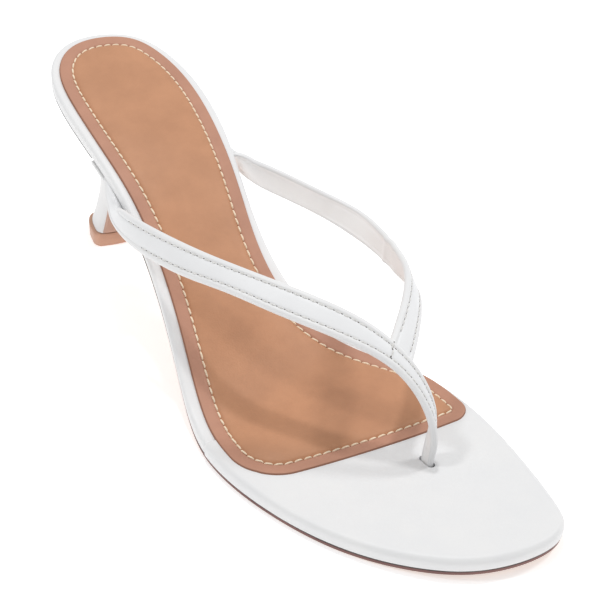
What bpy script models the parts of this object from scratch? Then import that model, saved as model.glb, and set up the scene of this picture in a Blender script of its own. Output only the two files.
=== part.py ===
"""A thong sandal on a kitten heel, for the right foot, standing empty on the floor.

Metres, +Z up. The toe points to -Y and the big toe's side is +X. The tables are in
millimetres, measured from the back of the heel along the shoe (s), across it from the line
through the middles of heel and ball (x, towards the big toe), and up from the floor (z).
"""

import bpy
import bmesh
import numpy as np
from mathutils import Vector

MM = 0.001

# Driving sizes.
LENGTH = 236.0            # footbed, from the back of the heel to the tip
BACK_Y = 118.0            # world y of the back of the heel
AXIS_X = -2.37            # world x of the heel-ball line
TREAD_TOP = 5.7           # top of the footbed over the flat of the forefoot
TREAD_BACK, TREAD_FRONT = 150.0, 195.0
TOE_SPRING = 2.2          # rise of the tip above the flat

FOOTBED_THICK = 4.1
OUTSOLE_THICK = 1.3
SOCK_THICK = 1.0
GAP = 0.3                 # left between pieces that meet
SOLE_INSET = 0.2          # outsole edge inside the footbed's
BREAST = 52.0             # front of the heel seat, where the outsole ends
BREAST_THICK = 0.9

# The sock's front edge, slightly bowed between two rounded corners.
SOCK_FRONT_LATERAL = (172.0, -36.0)
SOCK_FRONT_MEDIAL = (181.5, 33.0)
SOCK_FRONT_BOW = 1.6
SOCK_CORNER_LATERAL, SOCK_CORNER_MEDIAL = 15.0, 6.0

# The plan outline at even steps of an angle that runs from the heel's back to the tip, so
# that the sections crowd towards both round ends.
#           lateral  medial
OUTLINE = [(0.0, 0.0),
           (12.7, 14.8),
           (20.9, 23.0),
           (23.9, 25.3),
           (24.6, 21.9),
           (26.1, 14.9),
           (32.5, 15.3),
           (39.7, 32.0),
           (37.3, 37.9),
           (28.7, 35.7),
           (16.1, 31.3),
           (1.4, 26.3),
           (-15.2, 15.2)]

# The margin between the outline and the sock, at the same angles.
#               lateral  medial
SOCK_MARGIN = [(3.05, 3.05),
               (3.05, 3.05),
               (3.0, 3.3),
               (3.1, 3.2),
               (2.7, 3.0),
               (3.1, 2.4),
               (3.7, 3.9),
               (3.7, 1.0),
               (2.6, 1.8),
               (2.6, 1.8),
               (2.6, 1.8),
               (2.6, 1.8),
               (2.6, 2.6)]

# Top of the footbed from the heel's back to the flat of the forefoot.
#            s      z
TOP_LINE = [(0.0, 70.5),
            (16.0, 65.7),
            (35.0, 60.4),
            (59.0, 53.7),
            (75.0, 47.1),
            (90.0, 38.0),
            (105.0, 28.2),
            (118.0, 18.9),
            (130.0, 11.1),
            (140.0, 7.0),
            (TREAD_BACK, TREAD_TOP)]

# The heel block, from the top lift (rise 0) to the seat (rise 1).
#        rise  back  front  half_width  centre_x
HEEL = [(0.00, 11.2, 27.4, 8.3, -3.5),
        (0.12, 13.0, 27.6, 6.8, -3.2),
        (0.28, 15.2, 28.6, 5.9, -2.8),
        (0.42, 16.0, 30.2, 6.2, -2.4),
        (0.55, 15.2, 32.8, 7.9, -1.9),
        (0.70, 12.4, 37.0, 11.8, -1.0),
        (0.85, 7.0, 43.6, 17.3, 0.0),
        (0.95, 2.4, 49.2, 21.8, 0.5),
        (1.00, 0.4, BREAST, 24.2, 0.7)]
HEEL_TURN = 10.0          # degrees, of the top lift about the upright, none at the seat
# The plan shape over the top lift, in shares of half its length and half its width.
HEEL_FOOT = [(-1.0, 0.0),
             (-0.96, 0.36),
             (-0.82, 0.68),
             (-0.44, 0.88),
             (0.05, 0.98),
             (0.45, 1.0),
             (0.82, 0.97),
             (1.0, 0.84)]
FOOT_BOW = 0.10           # its front edge is bowed forward by this share
LIFT_HEIGHT = 5.2
LIFT_BACK, LIFT_SIDE = 1.0, 1.2   # the top lift stands proud of the heel block

# The two straps, a row for each cross-section: the edge nearer the ankle, then the other.
STRAP_THICK = 2.1
TAB_THICK = 1.2           # skived end, trapped between footbed and outsole
TAB_ROWS = 2              # rows of a strap that are inside or at the rim
#                  upper edge              lower edge
#                  s      x      z         s      x      z
LATERAL_STRAP = [((75.0, -18.6, 42.8), (61.0, -18.0, 48.7)),
                 ((75.0, -25.4, 42.8), (61.0, -24.8, 48.7)),
                 ((77.0, -26.6, 45.4), (65.2, -26.3, 43.4)),
                 ((81.0, -28.6, 48.6), (73.0, -28.7, 41.0)),
                 ((88.0, -29.1, 50.1), (84.5, -30.8, 41.2)),
                 ((104.0, -25.9, 50.7), (105.0, -30.8, 42.9)),
                 ((118.6, -21.4, 50.7), (120.8, -27.6, 44.3)),
                 ((131.3, -16.4, 50.6), (133.9, -23.0, 45.3)),
                 ((146.5, -9.2, 49.9), (149.8, -16.4, 44.8)),
                 ((158.0, -2.2, 47.9), (161.6, -9.4, 43.0)),
                 ((167.7, 4.9, 43.7), (171.5, -1.9, 39.9)),
                 ((177.2, 11.0, 36.5), (181.5, 5.6, 34.0)),
                 ((184.2, 13.4, 29.6), (188.6, 8.8, 26.8)),
                 ((187.8, 13.8, 23.2), (192.3, 9.9, 20.6)),
                 ((188.3, 13.0, 14.8), (193.9, 10.5, 13.2)),
                 ((188.4, 11.0, 6.5), (193.0, 10.9, 6.5)),
                 ((188.3, 10.8, 2.0), (192.9, 11.0, 2.0))]
MEDIAL_STRAP = [((67.5, 11.0, 46.2), (58.0, 13.0, 49.7)),
                ((67.5, 17.6, 46.2), (58.0, 19.6, 49.7)),
                ((67.8, 20.8, 46.9), (59.8, 21.6, 47.4)),
                ((69.6, 23.2, 47.5), (63.8, 22.8, 42.4)),
                ((74.0, 24.6, 47.3), (70.0, 22.8, 39.9)),
                ((78.6, 25.6, 47.5), (76.2, 24.6, 38.5)),
                ((85.5, 29.2, 46.2), (82.8, 28.2, 36.8)),
                ((94.8, 37.4, 41.6), (92.8, 35.7, 32.8)),
                ((107.5, 43.6, 38.8), (107.5, 39.8, 30.8)),
                ((122.6, 42.8, 38.6), (123.0, 41.2, 29.8)),
                ((136.7, 38.8, 39.7), (137.7, 38.9, 30.6)),
                ((149.2, 32.2, 41.1), (151.6, 35.1, 32.9)),
                ((161.2, 21.4, 39.8), (164.8, 26.1, 33.3)),
                ((171.0, 10.3, 37.6), (175.5, 15.7, 31.8)),
                ((175.4, 5.3, 36.4), (179.9, 10.7, 30.8))]

SLOT_BACK, SLOT_FRONT = 187.3, 194.0
SLOT_HALF_WIDTH = 1.7
SLOT_X = (10.8, 11.0)     # of the slot's back and front ends

# Mesh fineness.
ROWS = 56
HEEL_ROWS = 16
ACROSS = 4
STRAP_STATIONS = 46
EDGE_ARC = 3
FRONT_STEPS = 5           # of the sock's front edge between its corners

COLOURS = {"white_leather": ((0.80, 0.80, 0.80), 0.45),
           "tan_sock": ((0.55, 0.32, 0.21), 0.55),
           "tan_leather": ((0.60, 0.40, 0.29), 0.50),
           "tan_lift": ((0.50, 0.30, 0.20), 0.50)}


def natural_spline(knots, values, at):
    """The cubic through values at knots, with no bend at its two ends."""
    knots = np.asarray(knots, float)
    values = np.asarray(values, float)
    count = len(knots)
    step = np.diff(knots)
    system = np.eye(count)
    right = np.zeros((count,) + values.shape[1:])
    for i in range(1, count - 1):
        system[i, i - 1] = step[i - 1]
        system[i, i] = 2 * (step[i - 1] + step[i])
        system[i, i + 1] = step[i]
        right[i] = 6 * ((values[i + 1] - values[i]) / step[i]
                        - (values[i] - values[i - 1]) / step[i - 1])
    bend = np.linalg.solve(system, right.reshape(count, -1)).reshape(right.shape)
    at = np.atleast_1d(np.asarray(at, float))
    k = np.clip(np.searchsorted(knots, at, side="right") - 1, 0, count - 2)
    shape = (-1,) + (1,) * (values.ndim - 1)
    h = step[k].reshape(shape)
    f = ((at - knots[k]) / step[k]).reshape(shape)
    g = 1 - f
    return (g * values[k] + f * values[k + 1]
            + h * h / 6 * ((g ** 3 - g) * bend[k] + (f ** 3 - f) * bend[k + 1]))


def closed_spline(values, angle):
    """The smooth loop through values at even steps of an angle from 0 to 2 pi."""
    turns = 2                       # extra values at each end, so that the loop closes
    count = len(values)
    step = 2 * np.pi / count
    padded = np.concatenate([values] * (2 * turns + 1))
    knots = (np.arange(len(padded)) - turns * count) * step
    return natural_spline(knots, padded, np.mod(angle, 2 * np.pi))


def around(table, lateral_sign=1):
    """The values of a two-column table in order round the outline."""
    lateral = [lateral_sign * row[0] for row in table]
    medial = [row[1] for row in table[1:-1]]
    return lateral + medial[::-1]


def outline(angle, inset=0.0):
    """Points (s, x) of the plan outline, lateral side for angles up to pi, medial after."""
    loop = around(OUTLINE, -1)

    def point(a):
        return np.stack([LENGTH / 2 * (1 - np.cos(a)), closed_spline(loop, a)], -1)

    small = 1e-3
    along = point(angle + small) - point(angle - small)
    along /= np.linalg.norm(along, axis=-1, keepdims=True)
    inward = np.stack([-along[:, 1], along[:, 0]], -1)
    return point(angle) + np.reshape(inset, (-1, 1)) * inward


def sock_line(angle, inset):
    """The outline moved in by the sock's margin and by inset."""
    return outline(angle, closed_spline(around(SOCK_MARGIN), angle) + inset)


def top(s):
    """Height of the footbed's top surface."""
    s = np.asarray(s, float)
    flat = np.full(s.shape, TREAD_TOP)
    rows = np.array(TOP_LINE)
    slope_end = np.array([[TREAD_BACK + 12.0, TREAD_TOP]])
    rows = np.concatenate([rows, slope_end])
    curve = natural_spline(rows[:, 0], rows[:, 1], s.ravel()).reshape(s.shape)
    ahead = np.clip((s - TREAD_FRONT) / (LENGTH - TREAD_FRONT), 0, None)
    return np.where(s < TREAD_BACK, curve, flat + TOE_SPRING * ahead ** 2)


def world(s, x, z):
    """Shoe millimetres to world metres."""
    return np.stack([(np.asarray(x) + AXIS_X) * MM,
                     (BACK_Y - np.asarray(s)) * MM,
                     np.asarray(z) * MM], -1)


def side_angles(start, stop, count=ROWS + 1):
    return np.linspace(start, stop, count)


def angle_at(s, side, inset):
    """The outline's angle where the inset edge passes s, on side -1 (lateral) or +1."""
    angles = np.linspace(0.02, np.pi - 0.02, 600)
    if side > 0:
        angles = 2 * np.pi - angles
    reached = outline(angles, inset)[:, 0]
    return float(np.interp(s, reached, angles))


def whole_edges(inset):
    """Lateral and medial edges of the whole plan, from heel to tip."""
    angles = side_angles(0, np.pi)
    return outline(angles, inset), outline(2 * np.pi - angles, inset), None


def clipped_edges(start, stop, rows=ROWS):
    """Edges of the plan between two straight cuts across it, or from an uncut end."""
    def edges(inset):
        sides = []
        for side in (-1, 1):
            low = 0.0 if start is None else angle_at(start + inset, side, inset)
            high = np.pi if stop is None else angle_at(stop - inset, side, inset)
            if side > 0 and start is None:
                low = 2 * np.pi
            if side > 0 and stop is None:
                high = np.pi
            sides.append(outline(side_angles(low, high, rows + 1), inset))
        return sides[0], sides[1], None
    return edges


def corner(side, radius, inset, line_point, line_along, line_inward):
    """Centre of the round corner between the sock's side and its front line, and the
    outline's angle where the corner starts."""
    angles = np.linspace(np.pi * 0.45, np.pi * 0.85, 500)
    if side > 0:
        angles = 2 * np.pi - angles
    track = sock_line(angles, inset + radius)
    away = (track - line_point) @ line_inward - radius
    order = np.argsort(away)
    angle = float(np.interp(0.0, away[order], angles[order]))
    centre = sock_line(np.array([angle]), inset + radius)[0]
    foot = centre - line_inward * radius
    return angle, centre, foot


def arc(centre, first, last, count):
    """Points on the arc about centre from first to last, the short way round."""
    a = np.arctan2(*(first - centre)[::-1])
    b = np.arctan2(*(last - centre)[::-1])
    turn = (b - a + np.pi) % (2 * np.pi) - np.pi
    angles = a + turn * np.linspace(0, 1, count)
    radius = np.linalg.norm(first - centre)
    return centre + radius * np.stack([np.cos(angles), np.sin(angles)], -1)


def sock_edges(inset):
    """Edges of the sock: the outline inset, and a bowed front with round corners."""
    lateral_end = np.array(SOCK_FRONT_LATERAL)
    medial_end = np.array(SOCK_FRONT_MEDIAL)
    width = np.linalg.norm(medial_end - lateral_end)
    along = (medial_end - lateral_end) / width
    inward = np.array([-along[1], along[0]])
    inward *= -np.sign(inward[0])
    base = lateral_end + inward * inset
    halves = []
    arcs = []
    for side, radius in ((-1, SOCK_CORNER_LATERAL), (1, SOCK_CORNER_MEDIAL)):
        radius = max(radius - inset, 0.5)
        angle, centre, foot = corner(side, radius, inset, base, along, inward)
        start = 0.0 if side < 0 else 2 * np.pi
        touch = sock_line(np.array([angle]), inset)[0]
        bend = arc(centre, touch, foot, 2 * EDGE_ARC + 1)
        straight = sock_line(side_angles(start, angle, ROWS + 1 - EDGE_ARC), inset)
        halves.append(np.concatenate([straight, bend[1:EDGE_ARC + 1]]))
        arcs.append(bend[EDGE_ARC:])
    share = np.linspace(0, 1, FRONT_STEPS + 1)[1:-1, None]
    between = arcs[0][-1] * (1 - share) + arcs[1][-1] * share
    front = np.concatenate([arcs[0], between, arcs[1][::-1]])
    reach = 2 * ((front - base) @ along) / width - 1
    front = front - inward * (SOCK_FRONT_BOW * np.clip(1 - reach ** 2, 0, 1))[:, None]
    for half, end in ((halves[0], front[0]), (halves[1], front[-1])):
        half[-1] = end
    return halves[0], halves[1], front


def patch(edges, across):
    """A grid of plan points between two edges, its last row bent to the front if given."""
    lateral, medial, front = edges
    share = np.linspace(0, 1, across + 1)[None, :, None]
    grid = lateral[:, None] * (1 - share) + medial[:, None] * share
    if front is not None:
        grid[-1] = front
    return grid


def rim_of(grid):
    """The grid's boundary as a loop: lateral side forward, front, medial side back, back."""
    return np.concatenate([grid[:, 0], grid[-1, 1:-1], grid[::-1, -1], grid[0, -2:0:-1]])


def link(name, mesh_data, material):
    mesh = bpy.data.meshes.new(name)
    mesh_data.to_mesh(mesh)
    mesh_data.free()
    obj = bpy.data.objects.new(name, mesh)
    PARTS.objects.link(obj)
    mesh.materials.append(material)
    mesh.shade_smooth()
    mesh.set_sharp_from_angle(angle=0.7)
    return obj


def close_up(data):
    """Joins what coincides and turns the faces out."""
    bmesh.ops.remove_doubles(data, verts=data.verts, dist=0.002 * MM)
    bmesh.ops.triangulate(data, faces=data.faces)
    bmesh.ops.recalc_face_normals(data, faces=data.faces)


def add_grid(data, points):
    """Quads between the rows of a grid of world points."""
    rows, columns = points.shape[:2]
    verts = [[data.verts.new(p) for p in row] for row in points]
    for i in range(rows - 1):
        for j in range(columns - 1):
            data.faces.new((verts[i][j], verts[i][j + 1],
                            verts[i + 1][j + 1], verts[i + 1][j]))


def slab(name, edges, layers, material, across=ACROSS):
    """A solid that follows the footbed's curve. Each layer is an inset and a depth below
    the footbed's top; the first and the last are also filled across."""
    data = bmesh.new()
    loops = []
    for i, (inset, depth) in enumerate(layers):
        grid = patch(edges(inset), across)
        points = world(grid[..., 0], grid[..., 1], top(grid[..., 0]) - depth)
        loop = rim_of(points)
        loops.append(np.concatenate([loop, loop[:1]]))
        if i in (0, len(layers) - 1):
            add_grid(data, points)
    add_grid(data, np.array(loops))
    close_up(data)
    return link(name, data, material)


def rounded(inset, depth, radius, bottom, lower_inset):
    """Layers of a slab with a round upper edge, plumb sides and an eased lower edge."""
    layers = []
    for angle in np.linspace(0, np.pi / 2, EDGE_ARC + 1):
        layers.append((inset + radius * (1 - np.sin(angle)),
                       depth + radius * (1 - np.cos(angle))))
    layers.append((inset, bottom - lower_inset))
    layers.append((inset + lower_inset, bottom))
    return layers


def strap_surface(rows, thicker=0.0, wider=0.0, longer=0.0):
    """Cross-sections of a strap: rounded bars between its two edges, as a grid of points."""
    edges = np.array(rows, float)
    middle = edges.mean(axis=1)
    reach = np.concatenate([[0], np.cumsum(np.linalg.norm(np.diff(middle, axis=0), axis=1))])
    at = np.linspace(0, reach[-1], STRAP_STATIONS)
    smooth = natural_spline(reach, edges.reshape(len(rows), 6), at).reshape(-1, 2, 3)
    upper, lower = smooth[:, 0], smooth[:, 1]
    along = np.gradient((upper + lower) / 2, axis=0)
    across = upper - lower
    width = np.linalg.norm(across, axis=1, keepdims=True)
    across = across / width
    normal = np.cross(across, along)
    normal /= np.linalg.norm(normal, axis=1, keepdims=True)
    skive = np.clip((at - reach[TAB_ROWS - 1]) / 8.0, 0, 1)[:, None]
    half = (TAB_THICK + (STRAP_THICK - TAB_THICK) * skive + thicker) / 2
    reach_out = width / 2 + wider
    ring = []
    # Half-width and half-thickness shares of a bar with eased edges.
    for wide, deep in ((1.0, 0.0), (1.0, 0.5), (0.93, 0.92), (0.0, 1.0),
                       (-0.93, 0.92), (-1.0, 0.5), (-1.0, 0.0), (-1.0, -0.5),
                       (-0.93, -0.92), (0.0, -1.0), (0.93, -0.92), (1.0, -0.5)):
        ring.append((upper + lower) / 2 + across * reach_out * wide + normal * half * deep)
    sections = np.stack(ring, axis=1)
    sections[0] -= along[0] / np.linalg.norm(along[0]) * longer
    return sections


def tube_between(data, sections):
    """Skins a list of closed cross-sections and caps both ends."""
    loops = [[data.verts.new(p) for p in section] for section in sections]
    count = len(loops[0])
    for first, second in zip(loops, loops[1:]):
        for j in range(count):
            k = (j + 1) % count
            data.faces.new((first[j], first[k], second[k], second[j]))
    for loop in (loops[0], loops[-1]):
        data.faces.new(loop)


def strap(name, rows, material, stations=STRAP_STATIONS, **allowance):
    data = bmesh.new()
    sections = strap_surface(rows, **allowance)[:stations]
    tube_between(data, world(sections[..., 0], sections[..., 1], sections[..., 2]))
    bmesh.ops.triangulate(data, faces=data.faces)
    bmesh.ops.recalc_face_normals(data, faces=data.faces)
    return link(name, data, material)


def make_cutter(obj):
    PARTS.objects.unlink(obj)
    CUTTERS.objects.link(obj)
    obj.hide_render = True
    obj.display_type = "WIRE"
    return obj


def cut(obj, cutter, operation="DIFFERENCE"):
    modifier = obj.modifiers.new(cutter.name, "BOOLEAN")
    modifier.operation = operation
    modifier.object = cutter
    modifier.solver = "EXACT"


def foot_shape(rows, across):
    """Plan grid of the heel's foot, in shares of half its length and half its width."""
    table = np.array(HEEL_FOOT)
    steps = np.linalg.norm(np.diff(table, axis=0), axis=1)
    reach = np.concatenate([[0], np.cumsum(steps)])
    edge = natural_spline(reach, table, np.linspace(0, reach[-1], rows))
    share = np.linspace(-1, 1, across + 1)
    bow = FOOT_BOW * np.clip(edge[:, :1], 0, 1) ** 3 * (1 - share ** 2)
    return np.stack([edge[:, :1] + bow, edge[:, 1:] * share], -1)


def heel_sections(rises, margins=(0.0, 0.0)):
    """Plan grids of the heel block at the given rises: the seat's own shape, which turns
    into the foot's just above the top lift. Margins widen them at the back and sides."""
    seat = patch(clipped_edges(None, BREAST, HEEL_ROWS)(0.4), ACROSS)
    low = seat.reshape(-1, 2).min(axis=0)
    high = seat.reshape(-1, 2).max(axis=0)
    middle = (low + high) / 2
    seat_shape = (seat - middle) / ((high - low) / 2)
    table = np.array(HEEL)
    grids = []
    for rise in rises:
        back, front, half_width, centre_x = natural_spline(table[:, 0], table[:, 1:], rise)[0]
        back, half_width = back - margins[0], half_width + margins[1]
        turn = np.radians(HEEL_TURN) * (1 - rise) ** 2
        foot = (1 - rise) ** 5
        unit = seat_shape * (1 - foot) + foot_shape(HEEL_ROWS + 1, ACROSS) * foot
        s = unit[..., 0] * (front - back) / 2
        x = unit[..., 1] * half_width
        grids.append(np.stack([(front + back) / 2 + s * np.cos(turn) + x * np.sin(turn),
                               centre_x + x * np.cos(turn) - s * np.sin(turn)], -1))
    return grids, seat


def heel_height(rise, seat):
    """Height of each point of a heel section, level at the lift and sloped at the seat."""
    seat_z = top(seat[..., 0]) - FOOTBED_THICK - GAP
    base = LIFT_HEIGHT + GAP
    return base + rise * (seat_z - base)


def make_heel(material):
    rises = np.concatenate([np.linspace(0, 0.9, 13), [0.95, 0.985, 1.0]])
    grids, seat = heel_sections(rises)
    data = bmesh.new()
    loops = []
    for rise, grid in zip(rises, grids):
        points = world(grid[..., 0], grid[..., 1], heel_height(rise, seat))
        loop = rim_of(points)
        loops.append(np.concatenate([loop, loop[:1]]))
        if rise in (rises[0], rises[-1]):
            add_grid(data, points)
    add_grid(data, np.array(loops))
    close_up(data)
    return link("heel", data, material)


def make_breast(material):
    """The leather on the heel's front face, inside the covered sides."""
    rises = np.linspace(0.01, 0.97, 14)
    grids, seat = heel_sections(rises)
    data = bmesh.new()
    layers = []
    for ahead in (GAP, GAP + BREAST_THICK):
        layer = []
        for rise, grid in zip(rises, grids):
            front = grid[-1]
            middle = front.mean(axis=0)
            z = heel_height(rise, seat)[-1]
            edge = middle + (front - middle) * 0.95
            layer.append(world(edge[:, 0] + ahead, edge[:, 1], z))
        layers.append(np.array(layer))
    for layer in layers:
        add_grid(data, layer)
    rims = [rim_of(layer) for layer in layers]
    add_grid(data, np.array([np.concatenate([rim, rim[:1]]) for rim in rims]))
    close_up(data)
    return link("heel_breast", data, material)


def make_lift(material):
    (section,), _ = heel_sections([0.0], margins=(LIFT_BACK, LIFT_SIDE))
    data = bmesh.new()
    layers = []
    for height, grow in ((LIFT_HEIGHT, 0.97), (LIFT_HEIGHT - 0.4, 1.0), (0.0, 1.0)):
        middle = section.reshape(-1, 2).mean(axis=0)
        plan = middle + (section - middle) * grow
        layers.append(world(plan[..., 0], plan[..., 1], np.full(plan.shape[:2], height)))
    add_grid(data, layers[0])
    add_grid(data, layers[-1])
    rims = [rim_of(layer) for layer in layers]
    add_grid(data, np.array([np.concatenate([rim, rim[:1]]) for rim in rims]))
    close_up(data)
    return link("top_lift", data, material)


def make_slot_cutter(material):
    """An upright prism through the footbed, where the toe post goes in."""
    data = bmesh.new()
    ends = [(SLOT_BACK, SLOT_X[0]), (SLOT_FRONT, SLOT_X[1])]
    plan = [(ends[0][0], ends[0][1] - SLOT_HALF_WIDTH), (ends[1][0], ends[1][1] - SLOT_HALF_WIDTH),
            (ends[1][0], ends[1][1] + SLOT_HALF_WIDTH), (ends[0][0], ends[0][1] + SLOT_HALF_WIDTH)]
    sections = [[world(s, x, z) for s, x in plan] for z in (-2.0, 12.0)]
    tube_between(data, sections)
    bmesh.ops.recalc_face_normals(data, faces=data.faces)
    return make_cutter(link("slot_cutter", data, material))


def make_upper(material):
    """Both straps and the toe post, one solid where they cross."""
    lateral = strap("upper", LATERAL_STRAP, material)
    medial = make_cutter(strap("medial_strap_join", MEDIAL_STRAP, material))
    cut(lateral, medial, "UNION")
    return lateral


def make_pocket_cutters(material):
    """The room that each strap's skived end takes between footbed and outsole."""
    made = []
    for name, rows in (("lateral_pocket", LATERAL_STRAP), ("medial_pocket", MEDIAL_STRAP)):
        shape = strap(name, rows, material, stations=STRAP_STATIONS // 4,
                      thicker=2 * GAP + 0.1, wider=GAP + 0.1, longer=GAP)
        made.append(make_cutter(shape))
    return made


def make_material(name):
    colour, roughness = COLOURS[name]
    material = bpy.data.materials.new(name)
    material.use_nodes = True
    shader = material.node_tree.nodes["Principled BSDF"]
    shader.inputs["Base Color"].default_value = (*colour, 1.0)
    shader.inputs["Roughness"].default_value = roughness
    shader.inputs["Metallic"].default_value = 0.0
    material.diffuse_color = (*colour, 1.0)
    return material


for old in list(bpy.data.objects):
    bpy.data.objects.remove(old, do_unlink=True)
PARTS = bpy.data.collections.new("heeled_sandal")
CUTTERS = bpy.data.collections.new("cutters")
for collection in (PARTS, CUTTERS):
    bpy.context.scene.collection.children.link(collection)


def main():
    white = make_material("white_leather")
    tan = make_material("tan_leather")

    footbed = slab("footbed", whole_edges,
                   rounded(0.0, 0.0, 1.5, FOOTBED_THICK, 0.5), white)
    outsole_top = FOOTBED_THICK + GAP
    outsole_bottom = outsole_top + OUTSOLE_THICK
    outsole = slab("outsole", clipped_edges(BREAST, None),
                   [(SOLE_INSET, outsole_top),
                    (SOLE_INSET, outsole_bottom - 0.3),
                    (SOLE_INSET + 0.3, outsole_bottom)], tan)
    slab("sock", sock_edges,
         rounded(0.0, -GAP - SOCK_THICK, 0.7, -GAP, 0.1),
         make_material("tan_sock"), across=2 * EDGE_ARC + FRONT_STEPS)
    make_heel(white)
    make_breast(tan)
    make_lift(make_material("tan_lift"))
    make_upper(white)

    cut(footbed, make_slot_cutter(white))
    for pocket in make_pocket_cutters(white):
        cut(footbed, pocket)
        cut(outsole, pocket)


main()
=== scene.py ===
"""The looks of the heeled sandal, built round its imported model.

Metres, +Z up, the toe towards -Y and the big toe's side at +X. The tables and most lengths
are in millimetres, measured from the back of the heel along the shoe (s), across it from
the line through the middles of heel and ball (x), and up from the floor (z). They are the
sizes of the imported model, so every piece lies where its solid does.
"""

from collections import namedtuple

import bpy
import bmesh
import numpy as np
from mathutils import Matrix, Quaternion, Vector


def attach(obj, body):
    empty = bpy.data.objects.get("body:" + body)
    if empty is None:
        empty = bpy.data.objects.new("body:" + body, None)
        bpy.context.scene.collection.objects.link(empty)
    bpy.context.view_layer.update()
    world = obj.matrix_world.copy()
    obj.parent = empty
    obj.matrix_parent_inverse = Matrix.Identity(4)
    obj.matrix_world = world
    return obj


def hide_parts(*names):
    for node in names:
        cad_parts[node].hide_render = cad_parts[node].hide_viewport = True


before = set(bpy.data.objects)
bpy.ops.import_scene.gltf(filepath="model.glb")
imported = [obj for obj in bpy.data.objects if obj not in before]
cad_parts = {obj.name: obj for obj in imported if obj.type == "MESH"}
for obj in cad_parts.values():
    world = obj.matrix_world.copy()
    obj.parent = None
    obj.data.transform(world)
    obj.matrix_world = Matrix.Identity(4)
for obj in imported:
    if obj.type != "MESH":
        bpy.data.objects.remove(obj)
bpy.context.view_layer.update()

MM = 0.001
RNG = np.random.default_rng(11)  # varies the length and lean of the stitches

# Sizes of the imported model.
LENGTH = 236.0          # footbed, from the back of the heel to the tip
BACK_Y = 118.0          # world y of the back of the heel
AXIS_X = -2.37          # world x of the heel-ball line
TREAD_TOP = 5.7         # top of the footbed over the flat of the forefoot
TREAD_BACK, TREAD_FRONT = 150.0, 195.0
TOE_SPRING = 2.2        # rise of the tip above the flat
FOOTBED_THICK = 4.1
OUTSOLE_THICK = 1.3
GAP = 0.3               # left between pieces that meet
SOLE_INSET = 0.2        # outsole edge inside the footbed's
BREAST = 52.0           # front of the heel seat, where the outsole ends
BREAST_THICK = 0.9
SOCK_FRONT_LATERAL = (172.0, -36.0)
SOCK_FRONT_MEDIAL = (181.5, 33.0)
SOCK_FRONT_BOW = 1.6
SOCK_CORNER_LATERAL, SOCK_CORNER_MEDIAL = 15.0, 6.0
STRAP_THICK = 2.1
TAB_THICK = 1.2         # skived end, trapped between footbed and outsole
TAB_ROWS = 2            # rows of a strap that are inside or at the rim
LIFT_HEIGHT = 5.2
LIFT_BACK, LIFT_SIDE = 1.0, 1.2  # the top lift stands out by this much
HEEL_TURN = 10.0        # degrees, of the top lift about the upright
HEEL_INSET = 0.4        # heel seat inside the outline
FOOT_BOW = 0.10         # bow of the heel foot's front, as a share of half its length

# The plan outline, and the margin between it and the sock, at even steps of an angle
# from the heel's back to the tip.
#    outline        margin
#    lateral medial lateral medial
OUTLINE = [
    (0.0, 0.0, 3.05, 3.05),
    (12.7, 14.8, 3.05, 3.05),
    (20.9, 23.0, 3.0, 3.3),
    (23.9, 25.3, 3.1, 3.2),
    (24.6, 21.9, 2.7, 3.0),
    (26.1, 14.9, 3.1, 2.4),
    (32.5, 15.3, 3.7, 3.9),
    (39.7, 32.0, 3.7, 1.0),
    (37.3, 37.9, 2.6, 1.8),
    (28.7, 35.7, 2.6, 1.8),
    (16.1, 31.3, 2.6, 1.8),
    (1.4, 26.3, 2.6, 1.8),
    (-15.2, 15.2, 2.6, 2.6),
]

# Top of the footbed from the heel's back to the flat of the forefoot.
#    s     z
TOP_LINE = [
    (0.0, 70.5),
    (16.0, 65.7),
    (35.0, 60.4),
    (59.0, 53.7),
    (75.0, 47.1),
    (90.0, 38.0),
    (105.0, 28.2),
    (118.0, 18.9),
    (130.0, 11.1),
    (140.0, 7.0),
    (TREAD_BACK, TREAD_TOP),
    (TREAD_BACK + 12.0, TREAD_TOP),
]

# The heel block, from the top lift (rise 0) to the seat (rise 1).
#    rise  back  front half_width centre_x
HEEL = [
    (0.00, 11.2, 27.4, 8.3, -3.5),
    (0.12, 13.0, 27.6, 6.8, -3.2),
    (0.28, 15.2, 28.6, 5.9, -2.8),
    (0.42, 16.0, 30.2, 6.2, -2.4),
    (0.55, 15.2, 32.8, 7.9, -1.9),
    (0.70, 12.4, 37.0, 11.8, -1.0),
    (0.85, 7.0, 43.6, 17.3, 0.0),
    (0.95, 2.4, 49.2, 21.8, 0.5),
    (1.00, 0.4, BREAST, 24.2, 0.7),
]
# The plan shape over the top lift, in shares of half its length and half its width.
HEEL_FOOT = [(-1.0, 0.0), (-0.96, 0.36), (-0.82, 0.68), (-0.44, 0.88),
             (0.05, 0.98), (0.45, 1.0), (0.82, 0.97), (1.0, 0.84)]

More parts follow.
